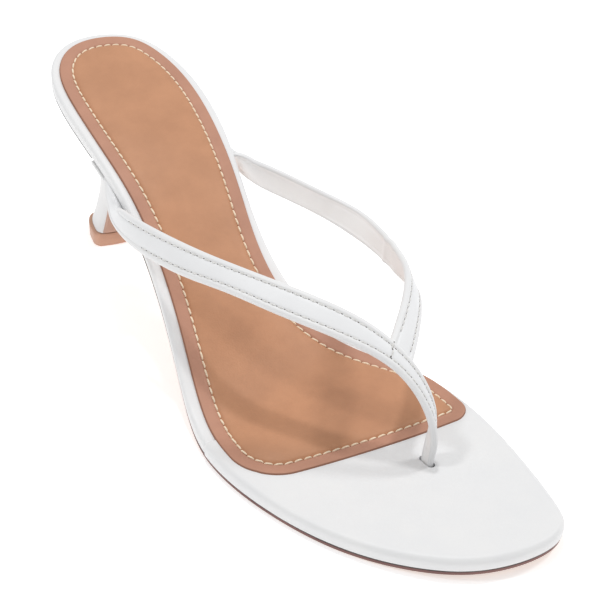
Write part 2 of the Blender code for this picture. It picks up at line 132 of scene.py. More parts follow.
# Sections of the straps from the root on; the lateral one ends in the toe post.
#    upper edge         lower edge
#    s     x      z     s     x      z
LATERAL_STRAP = [
    (75.0, -18.6, 42.8, 61.0, -18.0, 48.7),
    (75.0, -25.4, 42.8, 61.0, -24.8, 48.7),
    (77.0, -26.6, 45.4, 65.2, -26.3, 43.4),
    (81.0, -28.6, 48.6, 73.0, -28.7, 41.0),
    (88.0, -29.1, 50.1, 84.5, -30.8, 41.2),
    (104.0, -25.9, 50.7, 105.0, -30.8, 42.9),
    (118.6, -21.4, 50.7, 120.8, -27.6, 44.3),
    (131.3, -16.4, 50.6, 133.9, -23.0, 45.3),
    (146.5, -9.2, 49.9, 149.8, -16.4, 44.8),
    (158.0, -2.2, 47.9, 161.6, -9.4, 43.0),
    (167.7, 4.9, 43.7, 171.5, -1.9, 39.9),
    (177.2, 11.0, 36.5, 181.5, 5.6, 34.0),
    (184.2, 13.4, 29.6, 188.6, 8.8, 26.8),
    (187.8, 13.8, 23.2, 192.3, 9.9, 20.6),
    (188.3, 13.0, 14.8, 193.9, 10.5, 13.2),
    (188.4, 11.0, 6.5, 193.0, 10.9, 6.5),
    (188.3, 10.8, 2.0, 192.9, 11.0, 2.0),
]
MEDIAL_STRAP = [
    (67.5, 11.0, 46.2, 58.0, 13.0, 49.7),
    (67.5, 17.6, 46.2, 58.0, 19.6, 49.7),
    (67.8, 20.8, 46.9, 59.8, 21.6, 47.4),
    (69.6, 23.2, 47.5, 63.8, 22.8, 42.4),
    (74.0, 24.6, 47.3, 70.0, 22.8, 39.9),
    (78.6, 25.6, 47.5, 76.2, 24.6, 38.5),
    (85.5, 29.2, 46.2, 82.8, 28.2, 36.8),
    (94.8, 37.4, 41.6, 92.8, 35.7, 32.8),
    (107.5, 43.6, 38.8, 107.5, 39.8, 30.8),
    (122.6, 42.8, 38.6, 123.0, 41.2, 29.8),
    (136.7, 38.8, 39.7, 137.7, 38.9, 30.6),
    (149.2, 32.2, 41.1, 151.6, 35.1, 32.9),
    (161.2, 21.4, 39.8, 164.8, 26.1, 33.3),
    (171.0, 10.3, 37.6, 175.5, 15.7, 31.8),
    (175.4, 5.3, 36.4, 179.9, 10.7, 30.8),
]


# ---------------- curves and the sole's plan

def natural_spline(knots, values, at):
    """The cubic through values at knots, with no bend at its two ends."""
    knots = np.asarray(knots, float)
    values = np.asarray(values, float)
    count = len(knots)
    step = np.diff(knots)
    system = np.eye(count)
    right = np.zeros((count,) + values.shape[1:])
    for i in range(1, count - 1):
        system[i, i - 1] = step[i - 1]
        system[i, i] = 2 * (step[i - 1] + step[i])
        system[i, i + 1] = step[i]
        right[i] = 6 * ((values[i + 1] - values[i]) / step[i]
                        - (values[i] - values[i - 1]) / step[i - 1])
    bend = np.linalg.solve(system, right.reshape(count, -1)).reshape(right.shape)
    at = np.atleast_1d(np.asarray(at, float))
    k = np.clip(np.searchsorted(knots, at, side="right") - 1, 0, count - 2)
    shape = (-1,) + (1,) * (values.ndim - 1)
    h = step[k].reshape(shape)
    f = ((at - knots[k]) / step[k]).reshape(shape)
    g = 1 - f
    return (g * values[k] + f * values[k + 1]
            + h * h / 6 * ((g ** 3 - g) * bend[k] + (f ** 3 - f) * bend[k + 1]))


def closed_spline(values, angle):
    """The smooth loop through values at even steps of an angle from 0 to 2 pi."""
    count = len(values)
    padded = np.concatenate([values] * 5)
    knots = (np.arange(len(padded)) - 2 * count) * 2 * np.pi / count
    return natural_spline(knots, padded, np.mod(angle, 2 * np.pi))


def unit(vectors):
    return vectors / np.linalg.norm(vectors, axis=-1, keepdims=True)


def close_loop(loop):
    return np.concatenate([loop, loop[:1]])


def reach_of(path):
    """Distance along a path to each of its points."""
    return np.concatenate([[0], np.cumsum(np.linalg.norm(np.diff(path, axis=0), axis=1))])


def on_path(values, reach, at):
    """Values that belong to the distances reach along a path, read at other distances."""
    return np.stack([np.interp(at, reach, column) for column in values.T], -1)


def closed_resample(loop, count):
    """The closed loop again with count points at even steps."""
    ring = close_loop(loop)
    steps = np.linalg.norm(np.diff(ring, axis=0), axis=1)
    ring = ring[np.concatenate([[True], steps > 1e-6])]
    reach = reach_of(ring)
    return on_path(ring, reach, np.linspace(0, reach[-1], count + 1)[:-1])


def around(first, lateral_sign=1):
    """The values of two columns of the outline's table in order round the outline."""
    lateral = [lateral_sign * row[first] for row in OUTLINE]
    medial = [row[first + 1] for row in OUTLINE[1:-1]]
    return lateral + medial[::-1]


def outline(angle, inset=0.0):
    """Points (s, x) of the plan outline, lateral side for angles up to pi, medial after."""
    loop = around(0, -1)

    def point(a):
        return np.stack([LENGTH / 2 * (1 - np.cos(a)), closed_spline(loop, a)], -1)

    small = 1e-3
    along = unit(point(angle + small) - point(angle - small))
    inward = np.stack([-along[:, 1], along[:, 0]], -1)
    return point(angle) + np.reshape(inset, (-1, 1)) * inward


def both_sides(angles, inset):
    return outline(angles, inset), outline(2 * np.pi - angles, inset)


def sock_line(angle, inset):
    """The outline moved in by the sock's margin and by inset."""
    return outline(angle, closed_spline(around(2), angle) + inset)


def top(s):
    """Height of the footbed's top surface."""
    s = np.asarray(s, float)
    rows = np.array(TOP_LINE)
    curve = natural_spline(rows[:, 0], rows[:, 1], s.ravel()).reshape(s.shape)
    ahead = np.clip((s - TREAD_FRONT) / (LENGTH - TREAD_FRONT), 0, None)
    return np.where(s < TREAD_BACK, curve, TREAD_TOP + TOE_SPRING * ahead ** 2)


def to_world(points):
    """Points (s, x, z) in shoe millimetres to world metres."""
    s, x, z = np.moveaxis(np.asarray(points), -1, 0)
    return np.stack([(x + AXIS_X) * MM, (BACK_Y - s) * MM, z * MM], -1)


def at_height(plan, z):
    """World points at heights z over points (s, x) of the plan."""
    return to_world(np.concatenate([plan, z[..., None]], -1))


def level(plan, z):
    """Points (s, x, z) of a loop of the plan at one height."""
    return np.column_stack([plan, np.full(len(plan), z)])


def smooth(t):
    t = np.clip(t, 0, 1)
    return t * t * (3 - 2 * t)


def bell(distance, width):
    return np.exp(-(distance / width) ** 2)


def angle_at(s, side, inset):
    """The outline's angle where the inset edge passes s, on side -1 (lateral) or +1."""
    angles = np.linspace(0.02, np.pi - 0.02, 600)
    if side > 0:
        angles = 2 * np.pi - angles
    return float(np.interp(s, outline(angles, inset)[:, 0], angles))


def plan_edges(inset, rows, start=None, stop=None):
    """Lateral and medial edges of the plan, whole or between straight cuts across it."""
    sides = []
    for side in (-1, 1):
        low, high = (0.0, np.pi) if side < 0 else (2 * np.pi, np.pi)
        if start is not None:
            low = angle_at(start + inset, side, inset)
        if stop is not None:
            high = angle_at(stop - inset, side, inset)
        sides.append(outline(np.linspace(low, high, rows + 1), inset))
    return (*sides, None)


# Steps of the sock's edge: along a side, round half a corner, and between the corners.
SOCK_ROWS, HALF_ARC, FRONT_STEPS = 220, 10, 36
CORNER_RANGE = (0.45 * np.pi, 0.85 * np.pi)  # angles between which the corners start


def corner(side, radius, inset, line_point, line_inward):
    """Centre of the round corner between the sock's side and its front line, where it
    meets that line, and the outline's angle where it starts."""
    angles = np.linspace(*CORNER_RANGE, 500)
    if side > 0:
        angles = 2 * np.pi - angles
    track = sock_line(angles, inset + radius)
    away = (track - line_point) @ line_inward - radius
    order = np.argsort(away)
    angle = float(np.interp(0.0, away[order], angles[order]))
    centre = sock_line(np.array([angle]), inset + radius)[0]
    return angle, centre, centre - line_inward * radius


def arc(centre, first, last, count):
    """Points on the arc about centre from first to last, the short way round."""
    a = np.arctan2(*(first - centre)[::-1])
    b = np.arctan2(*(last - centre)[::-1])
    turn = (b - a + np.pi) % (2 * np.pi) - np.pi
    angles = a + turn * np.linspace(0, 1, count)
    radius = np.linalg.norm(first - centre)
    return centre + radius * np.stack([np.cos(angles), np.sin(angles)], -1)


def sock_edges(inset):
    """Edges of the sock: the outline inset, and a bowed front with round corners."""
    lateral_end = np.array(SOCK_FRONT_LATERAL)
    medial_end = np.array(SOCK_FRONT_MEDIAL)
    width = np.linalg.norm(medial_end - lateral_end)
    along = (medial_end - lateral_end) / width
    inward = np.array([-along[1], along[0]])
    inward *= -np.sign(inward[0])
    base = lateral_end + inward * inset
    halves = []
    arcs = []
    for side, radius in ((-1, SOCK_CORNER_LATERAL), (1, SOCK_CORNER_MEDIAL)):
        radius = max(radius - inset, 0.5)
        angle, centre, foot = corner(side, radius, inset, base, inward)
        start = 0.0 if side < 0 else 2 * np.pi
        touch = sock_line(np.array([angle]), inset)[0]
        bend = arc(centre, touch, foot, 2 * HALF_ARC + 1)
        straight = sock_line(np.linspace(start, angle, SOCK_ROWS + 1 - HALF_ARC), inset)
        halves.append(np.concatenate([straight, bend[1:HALF_ARC + 1]]))
        arcs.append(bend[HALF_ARC:])
    share = np.linspace(0, 1, FRONT_STEPS + 1)[1:-1, None]
    between = arcs[0][-1] * (1 - share) + arcs[1][-1] * share
    front = np.concatenate([arcs[0], between, arcs[1][::-1]])
    reach = 2 * ((front - base) @ along) / width - 1
    front = front - inward * (SOCK_FRONT_BOW * np.clip(1 - reach ** 2, 0, 1))[:, None]
    halves[0][-1], halves[1][-1] = front[0], front[-1]
    return (*halves, front)


def patch(edges, across):
    """A grid of plan points between two edges, its last row bent to the front if given."""
    lateral, medial, front = edges
    share = np.linspace(0, 1, across + 1)[None, :, None]
    grid = lateral[:, None] * (1 - share) + medial[:, None] * share
    if front is not None:
        grid[-1] = front
    return grid


def rim_of(grid):
    """The grid's boundary as a loop: lateral side forward, front, medial side back, back."""
    return np.concatenate([grid[:, 0], grid[-1, 1:-1], grid[::-1, -1], grid[0, -2:0:-1]])


# ---------------- meshes

WELD = 0.0008           # mm; points closer than this become one
SHARP = 0.9             # radians between faces, from which an edge stays sharp


def add_object(name, data):
    obj = bpy.data.objects.new(name, data)
    bpy.context.scene.collection.objects.link(obj)
    return obj


class Skin:
    """Collects patches of points and faces, and joins them into one object."""

    def __init__(self):
        self.points = []
        self.faces = []
        self.size = 0

    def add(self, points, faces):
        self.points.append(np.reshape(points, (-1, 3)))
        self.faces.append(faces + self.size)
        self.size += len(self.points[-1])

    def grid(self, points, closed=False):
        """Quads over points stored row by row; closed joins the last column to the first."""
        rows, columns = points.shape[:2]
        r = np.arange(rows - 1)[:, None] * columns
        c = np.arange(columns if closed else columns - 1)[None, :]
        n = (c + 1) % columns
        quads = np.stack([r + c, r + n, r + columns + n, r + columns + c], -1)
        self.add(points, quads.reshape(-1, 4))

    def tube(self, rings):
        """A closed tube through rings of points in mm, with a flat face on each end."""
        rings = to_world(np.array(rings))
        self.grid(rings, closed=True)
        for ring in (rings[0], rings[-1]):
            self.add(ring, np.arange(len(ring))[None, :])

    def block(self, rings):
        """Like a tube, but with rings on its end faces too, which shrink to the middle."""
        rings = to_world(np.array(rings))
        self.grid(rings, closed=True)
        for ring in (rings[0], rings[-1]):
            middle = ring.mean(axis=0)
            inner = [middle + (ring - middle) * share for share in np.linspace(1, 0.02, 4)]
            self.grid(np.array(inner), closed=True)
            self.add(inner[-1], np.arange(len(ring))[None, :])

    def make(self, name, material, weld=WELD, sharp=SHARP):
        mesh = bpy.data.meshes.new(name)
        faces = [row for block in self.faces for row in block.tolist()]
        mesh.from_pydata(np.concatenate(self.points).tolist(), [], faces)
        data = bmesh.new()
        data.from_mesh(mesh)
        if weld:
            bmesh.ops.remove_doubles(data, verts=data.verts, dist=weld * MM)
            bmesh.ops.dissolve_degenerate(data, edges=data.edges, dist=weld * MM)
        bmesh.ops.recalc_face_normals(data, faces=data.faces)
        data.to_mesh(mesh)
        data.free()
        obj = add_object(name, mesh)
        mesh.materials.append(material)
        mesh.shade_smooth()
        if sharp:
            mesh.set_sharp_from_angle(angle=sharp)
        return obj


def cut(obj, cutter):
    """Takes the cutter's shape out of obj, and deletes the cutter."""
    modifier = obj.modifiers.new(cutter.name, "BOOLEAN")
    modifier.operation = "DIFFERENCE"
    modifier.object = cutter
    modifier.solver = "EXACT"
    bpy.context.view_layer.update()
    graph = bpy.context.evaluated_depsgraph_get()
    mesh = bpy.data.meshes.new_from_object(obj.evaluated_get(graph))
    obj.modifiers.remove(modifier)
    old = obj.data
    obj.data = mesh
    bpy.data.meshes.remove(old)
    mesh.set_sharp_from_angle(angle=SHARP)
    bpy.data.objects.remove(cutter, do_unlink=True)


def ride(obj, slot, *nodes):
    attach(obj, "root")
    if nodes:
        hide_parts(*nodes)


# ---------------- materials

PEBBLE_SIZE = 2.6       # times the size of a pore
SAG_SIZE = 9.0          # mm, of the softest unevenness
PORE_SHARE, SAG_SHARE = 0.55, 1.6  # of the bump, next to 1 for the pebble
GLOSS_SPREAD = 0.06     # of the roughness, both ways
TWIST_SIZE, TWIST_DEPTH = 0.35, 0.05  # mm, of the thread's bands


def node(tree, kind, **inputs):
    """A new shader node; an input's name has _ for each space."""
    made = tree.nodes.new(kind)
    for key, value in inputs.items():
        made.inputs[key.replace("_", " ")].default_value = value
    return made


def texture(tree, kind, size, **inputs):
    """A texture in the object's own space, whose cells are about size mm wide."""
    made = node(tree, kind, Scale=1 / (size * MM), **inputs)
    place = node(tree, "ShaderNodeTexCoord")
    tree.links.new(place.outputs["Object"], made.inputs["Vector"])
    return made


def relief(tree, height, shader, depth, strength):
    """Gives the shader a bump of this height, depth mm from lowest to highest."""
    bump = node(tree, "ShaderNodeBump", Strength=strength, Distance=depth * MM)
    tree.links.new(height, bump.inputs["Height"])
    tree.links.new(bump.outputs["Normal"], shader.inputs["Normal"])


def multiply_add(tree, value, factor, plus):
    """The output value * factor + plus, from two outputs and a number."""
    made = tree.nodes.new("ShaderNodeMath")
    made.operation = "MULTIPLY_ADD"
    made.inputs[1].default_value = factor
    tree.links.new(value, made.inputs[0])
    tree.links.new(plus, made.inputs[2])
    return made.outputs[0]


def new_material(name, colour, roughness, specular=0.5):
    material = bpy.data.materials.new(name)
    material.use_nodes = True
    shader = material.node_tree.nodes["Principled BSDF"]
    shader.inputs["Base Color"].default_value = (*colour, 1.0)
    shader.inputs["Roughness"].default_value = roughness
    shader.inputs["Specular IOR Level"].default_value = specular
    material.diffuse_color = (*colour, 1.0)
    return material, shader


def two_tones(tree, value, shader, tones, positions):
    """Colours the shader from one tone to the other as the value goes between positions."""
    ramp = tree.nodes.new("ShaderNodeValToRGB")
    for element, tone, position in zip(ramp.color_ramp.elements, tones, positions):
        element.position = position
        element.color = (*tone, 1.0)
    tree.links.new(value, ramp.inputs["Fac"])
    tree.links.new(ramp.outputs["Color"], shader.inputs["Base Color"])


def leather(name, colour, shade, roughness, pore_size, pore_depth, specular=0.4,
            mottle_size=18.0):
    """Smooth leather: fine pores, a softer pebble under them, and patches of another shade.
    Sizes and depths are in millimetres."""
    material, shader = new_material(name, colour, roughness, specular)
    tree = material.node_tree
    pores = texture(tree, "ShaderNodeTexVoronoi", pore_size, Randomness=1.0)
    pebble = texture(tree, "ShaderNodeTexNoise", PEBBLE_SIZE * pore_size, Detail=3.0)
    sag = texture(tree, "ShaderNodeTexNoise", SAG_SIZE, Detail=2.0)
    patches = texture(tree, "ShaderNodeTexNoise", mottle_size, Detail=4.0, Roughness=0.6)
    fine = multiply_add(tree, pores.outputs["Distance"], PORE_SHARE, pebble.outputs["Fac"])
    height = multiply_add(tree, sag.outputs["Fac"], SAG_SHARE, fine)
    relief(tree, height, shader, pore_depth, 1.0)
    two_tones(tree, patches.outputs["Fac"], shader, (colour, shade), (0.35, 0.65))
    gloss = node(tree, "ShaderNodeMapRange", To_Min=roughness - GLOSS_SPREAD,
                 To_Max=roughness + GLOSS_SPREAD)
    tree.links.new(pebble.outputs["Fac"], gloss.inputs["Value"])
    tree.links.new(gloss.outputs["Result"], shader.inputs["Roughness"])
    return material


def thread(name, colour, shade):
    """Twisted sewing thread: fine slanting bands."""
    material, shader = new_material(name, colour, 0.6, 0.3)
    tree = material.node_tree
    twist = texture(tree, "ShaderNodeTexNoise", TWIST_SIZE, Detail=2.0)
    two_tones(tree, twist.outputs["Fac"], shader, (shade, colour), (0.35, 0.6))
    relief(tree, twist.outputs["Fac"], shader, TWIST_DEPTH, 0.6)
    return material


# Each leather: its name, colour, second shade, roughness, and the pores' size and depth.
WHITE = leather("white_leather_grain", (0.80, 0.80, 0.80), (0.775, 0.778, 0.785), 0.42,
                0.55, 0.035)
# Painted light: a lighter, slightly bluish copy of the white leather for the strap faces
# between the stitch rows.
STRAP_FACE_LIT = leather("strap_face_painted_light", (0.82, 0.825, 0.835), (0.79, 0.795, 0.805), 0.45,
                     0.55, 0.03)
# The straps' pale lining, made brighter than the white leather as painted light to lift the
# shade on the inner faces.
LIT_LINING = leather("lining_with_painted_light", (0.93, 0.93, 0.925), (0.90, 0.895, 0.89), 0.60, 0.7, 0.05)
TAN_SOCK = leather("tan_sock_grain", (0.545, 0.272, 0.150), (0.485, 0.24, 0.132), 0.50,
                   0.60, 0.05, specular=0.3, mottle_size=14.0)
# Painted shade: a darker, pinker copy of the sock's tan for its sloping border outside the
# stitches.
SOCK_BORDER_SHADE = leather("sock_border_painted_shade", (0.51, 0.265, 0.18), (0.46, 0.235, 0.16), 0.52,
                      0.60, 0.05, specular=0.3, mottle_size=14.0)
# A darker brown on the pad's rounded outer edge.
SOCK_EDGE = leather("sock_darker_edge", (0.36, 0.18, 0.12), (0.30, 0.15, 0.10), 0.8, 0.4, 0.05,
                    specular=0.2)
# Painted shade: a dark grey for the shaded gaps where footbed, outsole, heel and top lift meet.
SEAM_SHADE = leather("painted_seam_shade", (0.20, 0.19, 0.18), (0.15, 0.14, 0.135), 0.8, 0.4, 0.03,
               specular=0.2)
TAN_SOLE = leather("tan_sole_grain", (0.52, 0.33, 0.23), (0.44, 0.27, 0.19), 0.55, 0.5, 0.04)
SOLE_EDGE = leather("sole_edge_paint", (0.26, 0.135, 0.12), (0.20, 0.10, 0.09), 0.5, 0.5,
                    0.03)
TAN_BREAST = leather("tan_breast_grain", (0.56, 0.35, 0.27), (0.50, 0.31, 0.235), 0.5, 0.5,
                     0.03)
TAN_LIFT = leather("tan_lift_moulded", (0.64, 0.37, 0.26), (0.59, 0.34, 0.235), 0.45, 0.3,
                   0.015, mottle_size=8.0)
# Painted shade: dark discs that stand for the needle holes' shaded hollows.
HOLE_SHADE, _ = new_material("needle_holes", (0.16, 0.145, 0.135), 0.9, 0.1)
SOCK_HOLE_SHADE, _ = new_material("sock_needle_holes", (0.16, 0.075, 0.045), 0.9, 0.1)
CREAM_THREAD = thread("cream_thread", (0.93, 0.80, 0.62), (0.78, 0.60, 0.42))
WHITE_THREAD = thread("white_thread", (0.84, 0.83, 0.81), (0.60, 0.59, 0.57))


# ---------------- footbed and outsole

SEAM_LATERAL, SEAM_MEDIAL = 149.0, 162.0  # where the forefoot's cover meets the rim's
SEAM_STEP = 0.28
SEAM_DEPTH, SEAM_WIDTH = 0.22, 0.45
RIM_RADIUS = 1.5        # of the footbed's upper edge
RIM_TURN = 0.45         # inset of its lower edge
POST_BACK, POST_FRONT = (188.3, 10.8), (193.0, 11.0)
SLOT_HALF_WIDTH = 1.25
SLOT_END = 0.6          # from the post's edge back to the centre of the slot's round end


def row_angles():
    """Angles of the footbed's rows, closer together at the seams across its rim."""
    parts = [np.linspace(0, np.pi, 241)]
    for s in (SEAM_LATERAL, SEAM_MEDIAL):
        parts.append(np.arccos(1 - np.linspace(s - 2, s + 2, 17) * 2 / LENGTH))
    return np.unique(np.concatenate(parts))


def whole_edges(inset):
    return (*both_sides(row_angles(), inset), None)


def post_distance(plan):
    """Distance of plan points from the line on which the toe post stands."""
    first, last = np.array(POST_BACK), np.array(POST_FRONT)
    along = last - first
    share = np.clip(((plan - first) @ along) / (along @ along), 0, 1)
    return np.linalg.norm(plan - first - share[..., None] * along, axis=-1)


def cover_stand(plan):
    """How far the forefoot's cover stands out; it starts at a pressed seam on the rim."""
    behind = plan[..., 0] - np.where(plan[..., 1] < 0, SEAM_LATERAL, SEAM_MEDIAL)
    pressed = SEAM_DEPTH * bell(behind + 0.1, SEAM_WIDTH)
    return SEAM_STEP * smooth(behind / 0.5 + 0.5) - pressed


def footbed_top(plan):
    """Height of the cover's top, with the soft hollow where the toe post goes in."""
    near = np.clip(post_distance(plan) - 1.2, 0, None)
    waves = 0.06 * np.sin(plan[..., 0] / 5.2 + 0.7) * np.sin(plan[..., 1] / 6.5 - 0.4)
    front = smooth((plan[..., 0] - 165) / 15)
    return top(plan[..., 0]) - 0.42 * bell(near, 1.6) + waves * front


def footbed_cover():
    skin = Skin()
    layers = [(RIM_RADIUS * (1 - np.sin(a)), RIM_RADIUS * (1 - np.cos(a)))
              for a in np.linspace(0, np.pi / 2, 9)]
    layers += [(0.0, 2.4), (0.0, 3.5), (0.12, 3.8), (RIM_TURN, FOOTBED_THICK)]
    loops = []
    for inset, depth in layers:
        lateral, medial, _ = whole_edges(inset)
        loop = np.concatenate([lateral, medial[-2:0:-1]])
        stand = cover_stand(loop)
        share = min(depth / RIM_RADIUS, 1.0)
        plan = loop + outward_of(loop) * (stand * share)[:, None]
        height = footbed_top(loop) - depth + stand * (1 - share)
        loops.append(at_height(plan, height))
    skin.grid(np.array(loops), closed=True)
    upper = patch(whole_edges(RIM_RADIUS), 60)
    lower = patch(whole_edges(RIM_TURN), 20)
    for grid, height in ((upper, footbed_top(upper) + cover_stand(upper)),
                         (lower, top(lower[..., 0]) - FOOTBED_THICK)):
        skin.grid(at_height(grid, height))
    cover = skin.make("footbed_cover", WHITE)
    rim_bottom = FOOTBED_THICK - 0.35
    # Painted shade on the cover's lowest ring, in the gap over the outsole.
    paint(cover, SEAM_SHADE, lambda s, x, z, n: top(s) - z > rim_bottom and n.z > -0.9)
    return cover


def outline_centre(s):
    """Middle of the plan at s, as a point from which the rim lies outward."""
    clipped = np.clip(s, 25, LENGTH - 25)
    angles = np.arccos(1 - clipped * 2 / LENGTH)
    lateral, medial = both_sides(angles, 0.0)
    return np.column_stack([clipped, (lateral[:, 1] + medial[:, 1]) / 2])


def outward_of(loop):
    return unit(loop - outline_centre(loop[:, 0]))


def slot_cutter():
    """The opening for the toe post, a little larger than the post."""
    first, last = np.array(POST_BACK), np.array(POST_FRONT)
    along = unit(last - first)
    side = np.array([-along[1], along[0]])
    ring = [end + sign * (SLOT_HALF_WIDTH * (along * np.sin(t) + side * np.cos(t))
                          - along * SLOT_END)
            for end, sign in ((last, 1), (first, -1)) for t in np.linspace(0, np.pi, 9)]
    skin = Skin()
    skin.tube([level(ring, z) for z in (3.0, 9.0)])
    return skin.make("slot_cutter", WHITE, sharp=None)


def cover_faces(obj, material, faces):
    """Gives some faces of an object another material."""
    if material.name not in obj.data.materials:
        obj.data.materials.append(material)
    index = obj.data.materials.find(material.name)
    for face in faces:
        face.material_index = index


def paint(obj, material, chosen):
    """Gives another material to the faces that chosen picks by middle and normal, in mm."""
    faces = []
    for face in obj.data.polygons:
        x, y, z = face.center / MM
        if chosen(BACK_Y - y, x - AXIS_X, z, face.normal):
            faces.append(face)
    cover_faces(obj, material, faces)


SOLE_LET_OUT = 0.7


def let_out(loop, depth):
    """The sole's edge at a depth, let out near the heel to the seat's outline."""
    outward = loop - outline_centre(loop[:, 0])
    reach = np.linalg.norm(outward, axis=1, keepdims=True)
    near_heel = smooth((84 - loop[:, :1]) / 12)
    at_rim = smooth((reach - 15) / 2)
    plan = loop + outward / (reach + 1e-9) * SOLE_LET_OUT * near_heel * at_rim
    return at_height(plan, top(plan[:, 0]) - depth)


def outsole():
    above = FOOTBED_THICK + GAP
    below = above + OUTSOLE_THICK
    lip = SOLE_INSET + 0.8
    skin = Skin()
    layers = [(lip, FOOTBED_THICK - 0.1), (lip, above), (SOLE_INSET + 0.1, above),
              (SOLE_INSET, above + 0.1), (SOLE_INSET, below - 0.3),
              (SOLE_INSET + 0.1, below - 0.1), (SOLE_INSET + 0.3, below)]
    loops = []
    for i, (inset, depth) in enumerate(layers):
        grid = patch(plan_edges(inset, 200, start=BREAST), 24)
        points = at_height(grid, top(grid[..., 0]) - depth)
        if i in (0, len(layers) - 1):
            skin.grid(points)
        at_edge = 1 < i < len(layers) - 1
        loops.append(let_out(rim_of(grid), depth) if at_edge else rim_of(points))
    skin.grid(np.array(loops), closed=True)
    obj = skin.make("outsole_leather", TAN_SOLE)
    paint(obj, SOLE_EDGE, lambda s, x, z, n: abs(n.z) < 0.7)
    # Painted shade on the outsole's top under the footbed, and on its edge along the waist.
    paint(obj, SEAM_SHADE, lambda s, x, z, n: n.z > 0.5 or (abs(n.z) < 0.7 and s < 118))
    paint(obj, WHITE, lambda s, x, z, n: n.z > -0.7 and s < 80 and top(s) - z > above - 0.02)
    return obj


# ---------------- sock

STITCH_INSET = 4.5
SOCK_EDGE_TOP = 0.85
SOCK_BASE = -0.1        # the pad's underside, pressed into the footbed's cover
SOCK_RINGS = (0.0, 0.04, 0.12, 0.25, 0.5, 0.9, 1.6, 2.4, 3.1, 3.6, 3.95, 4.2, 4.35, 4.5,
              4.65, 4.8, 5.05, 5.4, 5.9, 6.6, 7.6, 9.0, 11.0)
# Soft hollows (-) and rises (+) pressed into the padding.
#    s      x    along across height
SOCK_SHAPING = [
    (20.0, 0.0, 16.0, 12.0, -0.30),
    (52.0, -2.0, 20.0, 9.0, 0.30),
    (88.0, -6.0, 22.0, 10.0, -0.25),
    (112.0, 2.0, 9.0, 20.0, 0.22),
    (128.0, -18.0, 10.0, 9.0, -0.25),
    (140.0, 8.0, 16.0, 14.0, -0.28),
    (158.0, -14.0, 12.0, 14.0, 0.18),
    (166.0, 16.0, 9.0, 10.0, -0.15),
]


def sock_rise(plan, inset):
    """Height of the sock over the footbed, by place and by distance from its edge."""
    edge = SOCK_EDGE_TOP * np.sqrt(1 - np.clip(1 - inset / 0.5, 0, 1) ** 2) + 0.03
    groove = -0.50 * bell(inset - STITCH_INSET, 0.50)
    pillow = 1.15 * (1 - np.exp(-np.clip(inset - STITCH_INSET, 0, None) / 3.2))
    inside = smooth((inset - 4.0) / 6.0)
    s, x = plan[..., 0], plan[..., 1]
    waves = 0.10 * np.sin(s / 9.0 + 0.16 * x) + 0.07 * np.sin(s / 4.7 - x / 7.0 + 1.3)
    for at_s, at_x, along, across, height in SOCK_SHAPING:
        waves = waves + height * np.exp(-((s - at_s) / along) ** 2 - ((x - at_x) / across) ** 2)
    return edge + groove + pillow + waves * inside


def up_from(plan):
    """Directions square to the slope of the footbed's top."""
    slope = top(plan[..., 0] + 0.5) - top(plan[..., 0] - 0.5)
    return unit(np.stack([-slope, np.zeros_like(slope), np.ones_like(slope)], -1))


def lifted(plan, rise):
    """The plan's points on the footbed's top, moved off it by rise."""
    on_top = np.concatenate([plan, top(plan[..., :1])], -1)
    return on_top + up_from(plan) * np.asarray(rise)[..., None]


def sock_loop(inset):
    lateral, medial, front = sock_edges(inset)
    return np.concatenate([lateral, front[1:-1], medial[::-1][:-1]])


def edge_distance(plan):
    """Distance of a grid of plan points from the sock's edge."""
    edge = sock_loop(0.0)
    return np.array([np.linalg.norm(row[:, None] - edge, axis=-1).min(axis=1)
                     for row in plan])


def sock_pad():
    loops = []
    for inset in SOCK_RINGS:
        plan = sock_loop(inset)
        loops.append(lifted(plan, sock_rise(plan, inset)))
    inner, base = [patch(sock_edges(inset), 2 * HALF_ARC + FRONT_STEPS)
                   for inset in (SOCK_RINGS[-1], 0.0)]
    away = np.maximum(edge_distance(inner), SOCK_RINGS[-1])
    skin = Skin()
    skin.grid(to_world(loops), closed=True)
    skin.grid(to_world(lifted(inner, sock_rise(inner, away))))
    skin.grid(to_world(lifted(base, SOCK_BASE)))
    skin.grid(to_world([loops[0], lifted(sock_loop(0.0), SOCK_BASE)]), closed=True)
    pad = skin.make("sock_pad", TAN_SOCK)
    columns = len(loops[0])
    border = SOCK_RINGS.index(STITCH_INSET)
    edge = SOCK_RINGS.index(0.25)
    # The border between edge and stitch line gets the painted shade; the rounded edge gets the
    # darker edge colour.
    for material, first, last in ((SOCK_BORDER_SHADE, edge, border), (SOCK_EDGE, 0, edge)):
        cover_faces(pad, material, pad.data.polygons[first * columns:last * columns])
    return pad


# ---------------- stitches

# Lengths in mm: the pitch of the stitches, a stitch's length, the thread's radius, how far
# its ends sink in, and the hole's half length. The tilt is a share of the length.
Stitch = namedtuple("Stitch", "thread pit pitch length radius sink hole tilt")
SOCK_STITCH = Stitch(CREAM_THREAD, SOCK_HOLE_SHADE, 3.0, 2.75, 0.36, 0.04, 0.28, 0.09)
STRAP_STITCH = Stitch(WHITE_THREAD, HOLE_SHADE, 2.6, 1.95, 0.23, 0.10, 0.30, 0.03)
UNEVEN_LENGTH, UNEVEN_TILT = 0.05, 0.03
HOLE_LIFT = 0.05        # of a hole's dark disc over the leather


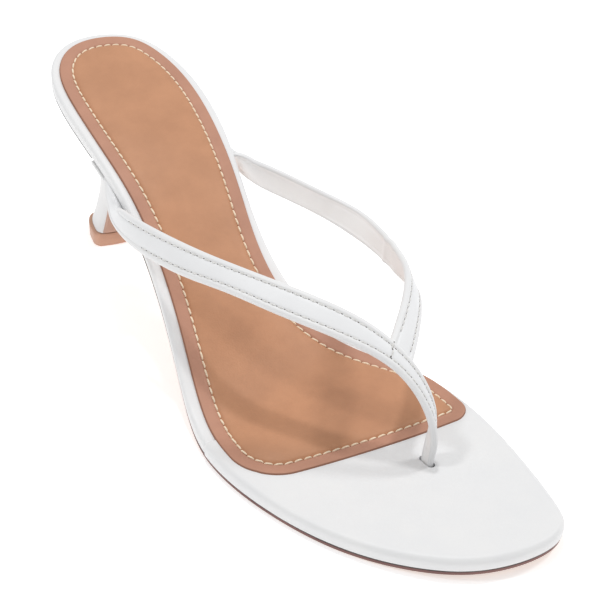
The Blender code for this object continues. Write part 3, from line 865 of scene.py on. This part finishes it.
def stitches(name, path, normal, kind, closed=False):
    """The thread along a path of points in mm, each stitch dipping into its needle holes
    at both ends, and the holes."""
    if closed:
        path = close_loop(path)
        normal = close_loop(normal)
    reach = reach_of(path)
    count = max(int(round(reach[-1] / kind.pitch)), 1)
    step = reach[-1] / count
    t = np.linspace(-1, 1, 7)
    turn = np.linspace(0, 2 * np.pi, 7)[:-1]
    thread_skin = Skin()
    for centre in (np.arange(count) + 0.5) * step:
        half = kind.length / 2 * (1 + UNEVEN_LENGTH * RNG.standard_normal())
        at = centre + t * half
        points = on_path(path, reach, at)
        up = unit(on_path(normal, reach, at))
        side = np.cross(up, unit(np.gradient(points, axis=0)))
        lean = kind.tilt + UNEVEN_TILT * RNG.standard_normal()
        rise = kind.radius * 0.75 - (kind.sink + kind.radius) * np.abs(t) ** 4
        points = points + up * rise[:, None] + side * (t * half * lean)[:, None]
        thin = kind.radius * (1 - 0.35 * np.abs(t[:, None]) ** 3)
        thread_skin.tube(points[:, None]
                         + side[:, None] * (thin * np.cos(turn))[..., None]
                         + up[:, None] * (0.8 * thin * np.sin(turn))[..., None])
    # The needle holes: flat discs of painted shade, lifted just over the leather.
    pits = Skin()
    turn = np.linspace(0, 2 * np.pi, 11)[:-1]
    for at in np.arange(count + (0 if closed else 1)) * step:
        near = np.clip([at - 0.2, at, at + 0.2], 0, reach[-1])
        behind, point, ahead = on_path(path, reach, near)
        up = unit(on_path(normal, reach, [at])[0])
        along = unit(ahead - behind)
        ring = (point + up * HOLE_LIFT + along * (kind.hole * np.cos(turn))[:, None]
                + np.cross(up, along) * (kind.hole * 0.75 * np.sin(turn))[:, None])
        pits.add(to_world(ring), np.arange(len(ring))[None, :])
    return [thread_skin.make(name + "_thread", kind.thread, sharp=None),
            pits.make(name + "_holes", kind.pit, sharp=None)]


def sock_stitches():
    plan = closed_resample(sock_loop(STITCH_INSET), 3000)
    path = lifted(plan, sock_rise(plan, STITCH_INSET))
    return stitches("sock", path, up_from(plan), SOCK_STITCH, closed=True)


# ---------------- straps

STATIONS = 260
ROW_INSET = 2.0         # of the stitch rows from the strap's edges
LINING_INSET = 1.1      # of the lining's edge
SKIVE_LENGTH = 8.0      # over which a strap thins towards its tab
UNDER_GAP, UNDER_REACH = 0.12, 5.0  # of the medial strap's end from the lateral one
# Distances from a strap's edge where its cross-section has points.
FROM_EDGE = (0.0, 0.06, 0.16, 0.32, 0.55, 0.8, 1.1, 1.4, 1.65, 1.82, 2.0, 2.18, 2.35, 2.6, 3.0,
             3.5)


def over_sole(points):
    """Lifts what would show through the sole's lower side, at a strap's root."""
    angles = np.linspace(0.02, np.pi - 0.02, 300)
    lateral, medial = both_sides(angles, SOLE_INSET - 0.6)
    s, x, z = points[..., 0], points[..., 1], points[..., 2]
    inside = ((x > np.interp(s, lateral[:, 0], lateral[:, 1]))
              & (x < np.interp(s, medial[:, 0], medial[:, 1])))
    lowest = top(s) - (FOOTBED_THICK + GAP + OUTSOLE_THICK) + 0.1
    return np.stack([s, x, np.where(inside, np.maximum(z, lowest), z)], -1)


class Strap:
    """A strap's frame: for each station its edges, middle, directions and thickness."""

    def __init__(self, rows, share, outward, over=None):
        """Outward is about where the outer face looks at a share of the length."""
        reach = reach_of(np.reshape(rows, (-1, 2, 3)).mean(axis=1))
        self.at = np.linspace(0, reach[-1], STATIONS)
        both = natural_spline(reach, rows, self.at)
        self.upper, self.lower = both.reshape(-1, 2, 3).transpose(1, 0, 2)
        self.skive = np.clip((self.at - reach[TAB_ROWS - 1]) / SKIVE_LENGTH, 0, 1)
        self.half_thick = (TAB_THICK + (STRAP_THICK - TAB_THICK) * self.skive) / 2
        self.sign = 1.0
        self.measure()
        near = np.argmin(np.abs(self.at - share * reach[-1]))
        self.sign = np.sign(self.normal[near] @ np.array(outward))
        self.measure()
        if over is not None:
            self.tuck_under(over)

    def measure(self):
        self.middle = (self.upper + self.lower) / 2
        across = self.upper - self.lower
        self.half_width = np.linalg.norm(across, axis=1) / 2
        self.across = across / (2 * self.half_width[:, None])
        self.along = unit(np.gradient(self.middle, axis=0))
        self.normal = unit(np.cross(self.across, self.along) * self.sign)

    def tuck_under(self, over):
        """Moves the end inward, so that it lies against the back of the strap over it."""
        for edge in (self.upper, self.lower):
            nearest = ((edge[:, None] - over.middle) ** 2).sum(-1).argmin(axis=1)
            offset = edge - over.middle[nearest]
            height, aside, along = [(offset * way[nearest]).sum(-1)
                                    for way in (over.normal, over.across, over.along)]
            weight = 1 - smooth((np.hypot(aside, along) - UNDER_REACH) / 4.0)
            push = np.minimum(-(STRAP_THICK + UNDER_GAP) - height, 0)
            edge += over.normal[nearest] * (push * weight)[:, None]
        self.measure()

    def face(self, from_edge, station):
        """Half the thickness by distance from the edge, which is round."""
        half = self.half_thick[station]
        return half * np.sqrt(1 - np.clip(1 - from_edge / half, 0, 1) ** 2)

    def outer(self, from_edge, station):
        """Height of the outer face over the middle plane."""
        relief = (0.10 * bell(from_edge - 1.2, 0.45) - 0.20 * bell(from_edge - ROW_INSET, 0.30)
                  + 0.10 * smooth((from_edge - 2.1) / 1.6))
        return self.face(from_edge, station) + self.skive[station] * relief

    def inner(self, from_edge, station):
        """Depth of the lining under the middle plane; it ends short of the folded edge."""
        relief = (0.14 * smooth((from_edge - 1.0) / 0.2)
                  + 0.10 * bell(from_edge - ROW_INSET, 0.35))
        return self.face(from_edge, station) - self.skive[station] * relief

    def place(self, k, aside, height):
        """Points beside the middle line and off the middle plane, at station k."""
        return self.middle[k] + self.across[k] * aside + self.normal[k] * height

    def ring(self, station, crease):
        half_width = self.half_width[station]
        sides = np.minimum(np.array(FROM_EDGE), half_width)
        outer = self.outer(sides, station) + crease
        inner = self.inner(sides, station) - crease
        across = np.concatenate([half_width - sides, [0.0], (sides - half_width)[::-1]])
        face = np.concatenate([outer, outer[-1:], outer[::-1]])
        back = np.concatenate([inner, inner[-1:], inner[::-1]])
        across = np.concatenate([across, across[-2:0:-1]])
        depth = np.concatenate([face, -back[-2:0:-1]])
        return self.place(station, across[:, None], depth[:, None])

    def skin(self, name, creases=()):
        rings = []
        for station in range(STATIONS):
            crease = sum(depth * bell(self.at[station] - place, width)
                         for place, width, depth in creases)
            rings.append(over_sole(self.ring(station, crease)))
        skin = Skin()
        skin.tube(rings)
        obj = skin.make(name, WHITE, weld=0)
        columns = len(rings[0])
        outer = 2 * len(FROM_EDGE) + 1
        folded = FROM_EDGE.index(ROW_INSET)
        lined = FROM_EDGE.index(LINING_INSET)
        # The face between the stitch rows gets painted light; the lining gets the lining colour
        # brightened as painted light.
        for material, start, stop in ((STRAP_FACE_LIT, folded, outer - 1 - folded),
                                      (LIT_LINING, outer - 1 + lined, columns - lined)):
            sides = obj.data.polygons[:columns * (STATIONS - 1)]
            cover_faces(obj, material, [face for face in sides
                                        if start <= face.index % columns < stop])
        return obj

    def row(self, edge, start, stop):
        """A stitch row's points and normals; edge is +1 for the upper edge, -1 the lower."""
        chosen = np.where((self.at >= start) & (self.at <= stop))[0]
        aside = edge * (self.half_width - ROW_INSET)
        points = [self.place(k, aside[k], self.outer(ROW_INSET, k)) for k in chosen]
        return np.array(points), self.normal[chosen]

    def cross_row(self, place, lean, from_upper, from_lower):
        """A stitch row across the strap at a place along it; lean is its shift on the way."""
        width = 2 * np.interp(place, self.at, self.half_width)
        points = []
        normals = []
        for share in np.linspace(0, 1, 20):
            down = from_upper + share * (width - from_upper - from_lower)
            k = int(np.argmin(np.abs(self.at - place - lean * share)))
            points.append(self.place(k, self.half_width[k] - down,
                                     self.outer(min(down, width - down), k)))
            normals.append(self.normal[k])
        return np.array(points), np.array(normals)


# ---------------- heel

HEEL_ROWS, HEEL_ACROSS = 60, 30
SEAT_FLUSH = 0.95       # by which the cover stands out to the footbed's side
LOOP_POINTS = 300       # round a section of the heel or the lift


def foot_shape(rows, across):
    """Plan grid of the heel's foot, in shares of half its length and half its width."""
    table = np.array(HEEL_FOOT)
    reach = reach_of(table)
    edge = natural_spline(reach, table, np.linspace(0, reach[-1], rows))
    share = np.linspace(-1, 1, across + 1)
    bow = FOOT_BOW * np.clip(edge[:, :1], 0, 1) ** 3 * (1 - share ** 2)
    return np.stack([edge[:, :1] + bow, edge[:, 1:] * share], -1)


def heel_sections(rises, margins=(0.0, 0.0)):
    """Plan grids of the heel block at the given rises, and the plan of its seat."""
    seat = patch(plan_edges(HEEL_INSET, HEEL_ROWS, stop=BREAST), HEEL_ACROSS)
    low = seat.reshape(-1, 2).min(axis=0)
    high = seat.reshape(-1, 2).max(axis=0)
    seat_shape = (seat - (low + high) / 2) / ((high - low) / 2)
    foot_plan = foot_shape(HEEL_ROWS + 1, HEEL_ACROSS)
    table = np.array(HEEL)
    grids = []
    for rise in rises:
        back, front, half_width, centre_x = natural_spline(table[:, 0], table[:, 1:], rise)[0]
        back, half_width = back - margins[0], half_width + margins[1]
        turn = np.radians(HEEL_TURN) * (1 - rise) ** 2
        foot = (1 - rise) ** 5
        unturned = seat_shape * (1 - foot) + foot_plan * foot
        s = unturned[..., 0] * (front - back) / 2
        x = unturned[..., 1] * half_width
        grids.append(np.stack([(front + back) / 2 + s * np.cos(turn) + x * np.sin(turn),
                               centre_x + x * np.cos(turn) - s * np.sin(turn)], -1))
    return grids, seat


def heel_height(rise, seat):
    seat_z = top(seat[..., 0]) - FOOTBED_THICK - GAP
    base = LIFT_HEIGHT + GAP
    return base + rise * (seat_z - base)


def soften(loop, width):
    """The closed loop with its corners rounded over about width, kept at even steps."""
    step = np.linalg.norm(np.diff(close_loop(loop), axis=0), axis=1).mean()
    offsets = np.arange(-12, 13)
    weights = np.exp(-(offsets * step / width) ** 2)
    weights /= weights.sum()
    return sum(w * np.roll(loop, -o, axis=0) for w, o in zip(weights, offsets))


def drawn_in(loop, share):
    """The loop with its plan shrunk about its middle to a share of its size."""
    middle = loop[:, :2].mean(axis=0)
    return np.column_stack([middle + (loop[:, :2] - middle) * share, loop[:, 2]])


def heel_cover():
    rises = np.concatenate([np.linspace(0, 0.9, 46), np.linspace(0.92, 1.0, 8)])
    grids, seat = heel_sections(rises)
    loops = []
    for rise, grid in zip(rises, grids):
        z = rim_of(heel_height(rise, seat)[..., None])
        loop = np.concatenate([rim_of(grid), z], axis=1)
        loop = soften(closed_resample(loop, LOOP_POINTS), 0.7)
        near_seat = smooth((rise - 0.88) / 0.08)
        behind_breast = smooth((BREAST + 1 - loop[:, :1]) / 2)
        loop[:, :2] += outward_of(loop[:, :2]) * SEAT_FLUSH * near_seat * behind_breast
        loops.append(loop)
    lower, upper = drawn_in(loops[0], 0.93), drawn_in(loops[-1], 0.97)
    bottom, roof = lower.copy(), upper.copy()
    bottom[:, 2] = LIFT_HEIGHT - 0.1
    roof[:, 2] += GAP + 0.2
    skin = Skin()
    skin.block([bottom, lower, *loops, upper, roof])
    cover = skin.make("heel_cover", WHITE)
    # Painted shade on the cover's foot, in the gap over the top lift.
    paint(cover, SEAM_SHADE, lambda s, x, z, n: z < LIFT_HEIGHT + GAP)
    return cover


def breast_leather():
    """The leather down the heel's front, with its edges pressed down on the cover."""
    rises = np.linspace(0.004, 0.985, 70)
    grids, seat = heel_sections(rises)
    share = np.linspace(-1, 1, HEEL_ACROSS + 1)
    rim = np.clip((1 - np.abs(share)) * 9.0 / 0.5, 0, 1)
    front = []
    back = []
    for rise, grid in zip(rises, grids):
        middle = grid[-1].mean(axis=0)
        s, x = (middle + (grid[-1] - middle) * 0.955).T
        z = heel_height(rise, seat)[-1]
        ends = max(min(1.0, rise / 0.02, (0.99 - rise) / 0.01), 0)
        ahead = BREAST_THICK * np.sqrt(rim * (2 - rim)) * ends ** 0.5 + 0.02
        front.append(np.column_stack([s + ahead, x, z]))
        back.append(np.column_stack([s - 0.3, x, z]))
    front, back = to_world(np.array(front)), to_world(np.array(back))
    skin = Skin()
    skin.grid(front)
    skin.grid(back)
    skin.grid(np.array([rim_of(front), rim_of(back)]), closed=True)
    return skin.make("breast_leather", TAN_BREAST)


def lift_block():
    (section,), _ = heel_sections([0.0], margins=(LIFT_BACK, LIFT_SIDE))
    loop = soften(closed_resample(rim_of(section), LOOP_POINTS), 0.3)
    middle = loop.mean(axis=0)
    inward = unit(middle - loop)
    profile = ((0.50, 0.0), (0.25, 0.0), (0.0, 0.25), (0.0, LIFT_HEIGHT - 0.3),
               (0.12, LIFT_HEIGHT - 0.08), (0.35, LIFT_HEIGHT))
    skin = Skin()
    skin.block([level(loop + inward * inset, z) for inset, z in profile])
    return skin.make("lift_block", TAN_LIFT)


# ---------------- the object

# Creases across the medial strap: place along it, width and height.
MEDIAL_CREASES = [(80.5, 1.0, -0.28),
                  (84.2, 1.8, 0.2)]
# The camera, in metres, radians and millimetres.
CAMERA_PLACE = (-0.18963, -0.30493, 0.27033)
CAMERA_AIM = (0.01112, -0.00404, 0.02)
CAMERA_ROLL = 0.00919
CAMERA_LENS = 81.2
FLOOR_GLOW = 0.42
SURROUND_GLOW = 0.56
# Lamps that point at the origin, in metres and watts.
#          name               place                 size  power
LAMPS = [("overhead_key", (0.10, 0.21, 1.18), 0.09, 3.4),
         ("left_soft_box", (-0.52, 0.22, 1.06), 0.12, 2.2),
         ("right_soft_box", (0.75, -0.17, 0.92), 0.16, 3.0)]


def build():
    cover = footbed_cover()
    cut(cover, slot_cutter())
    ride(cover, "white_leather", "footbed")
    ride(outsole(), "tan_leather", "outsole")

    pad = sock_pad()
    ride(pad, "tan_sock", "sock")
    for piece in sock_stitches():
        ride(piece, "tan_sock")

    lateral = Strap(LATERAL_STRAP, 0.72, (0.56, 0.1, 0.76))
    medial = Strap(MEDIAL_STRAP, 0.95, (0.54, 0.36, 0.76), over=lateral)
    ride(lateral.skin("lateral_strap"), "white_leather", "upper")
    ride(medial.skin("medial_strap", MEDIAL_CREASES), "white_leather", "upper")
    rows = {"lateral_upper": lateral.row(1, 28.0, 158.0),
            "lateral_lower": lateral.row(-1, 38.0, 158.0),
            "medial_upper": medial.row(1, 26.0, 131.5),
            "medial_lower": medial.row(-1, 26.0, 135.5),
            "crossing": lateral.cross_row(126.3, 0.8, 0.7, 2.4)}
    for name, (path, normal) in rows.items():
        for piece in stitches(name, path, normal, STRAP_STITCH):
            ride(piece, "white_leather")

    ride(heel_cover(), "white_leather", "heel")
    ride(breast_leather(), "tan_leather", "heel_breast")
    ride(lift_block(), "tan_lift", "top_lift")


def turn_to(obj, target, roll=0.0):
    """Points a camera or lamp at a target, and rolls it about its axis."""
    look = (Vector(target) - obj.location).to_track_quat("-Z", "Y")
    obj.rotation_mode = "QUATERNION"
    obj.rotation_quaternion = look @ Quaternion((0, 0, 1), roll)


def add_camera():
    data = bpy.data.cameras.new("camera")
    camera = add_object("camera", data)
    camera.location = CAMERA_PLACE
    turn_to(camera, CAMERA_AIM, CAMERA_ROLL)
    data.sensor_width = 36
    data.lens = CAMERA_LENS
    data.clip_start = 0.01
    data.clip_end = 20
    bpy.context.scene.camera = camera


def add_stage():
    bpy.ops.mesh.primitive_plane_add(size=6)
    floor = bpy.context.object
    floor.name = "floor"
    paper, shader = new_material("floor", (0.93, 0.93, 0.93), 0.9, 0.2)
    shader.inputs["Emission Color"].default_value = (1, 1, 1, 1)
    shader.inputs["Emission Strength"].default_value = FLOOR_GLOW
    floor.data.materials.append(paper)
    world_light = bpy.data.worlds.new("studio")
    bpy.context.scene.world = world_light
    world_light.use_nodes = True
    background = world_light.node_tree.nodes["Background"]
    background.inputs["Color"].default_value = (1, 1, 1, 1)
    background.inputs["Strength"].default_value = SURROUND_GLOW
    for name, place, size, power in LAMPS:
        light = bpy.data.lights.new(name, "AREA")
        light.energy = power
        light.size = size
        lamp = add_object(name, light)
        lamp.location = place
        turn_to(lamp, (0, 0, 0))
    bpy.context.scene.view_settings.view_transform = "Standard"


add_camera()
add_stage()
build()
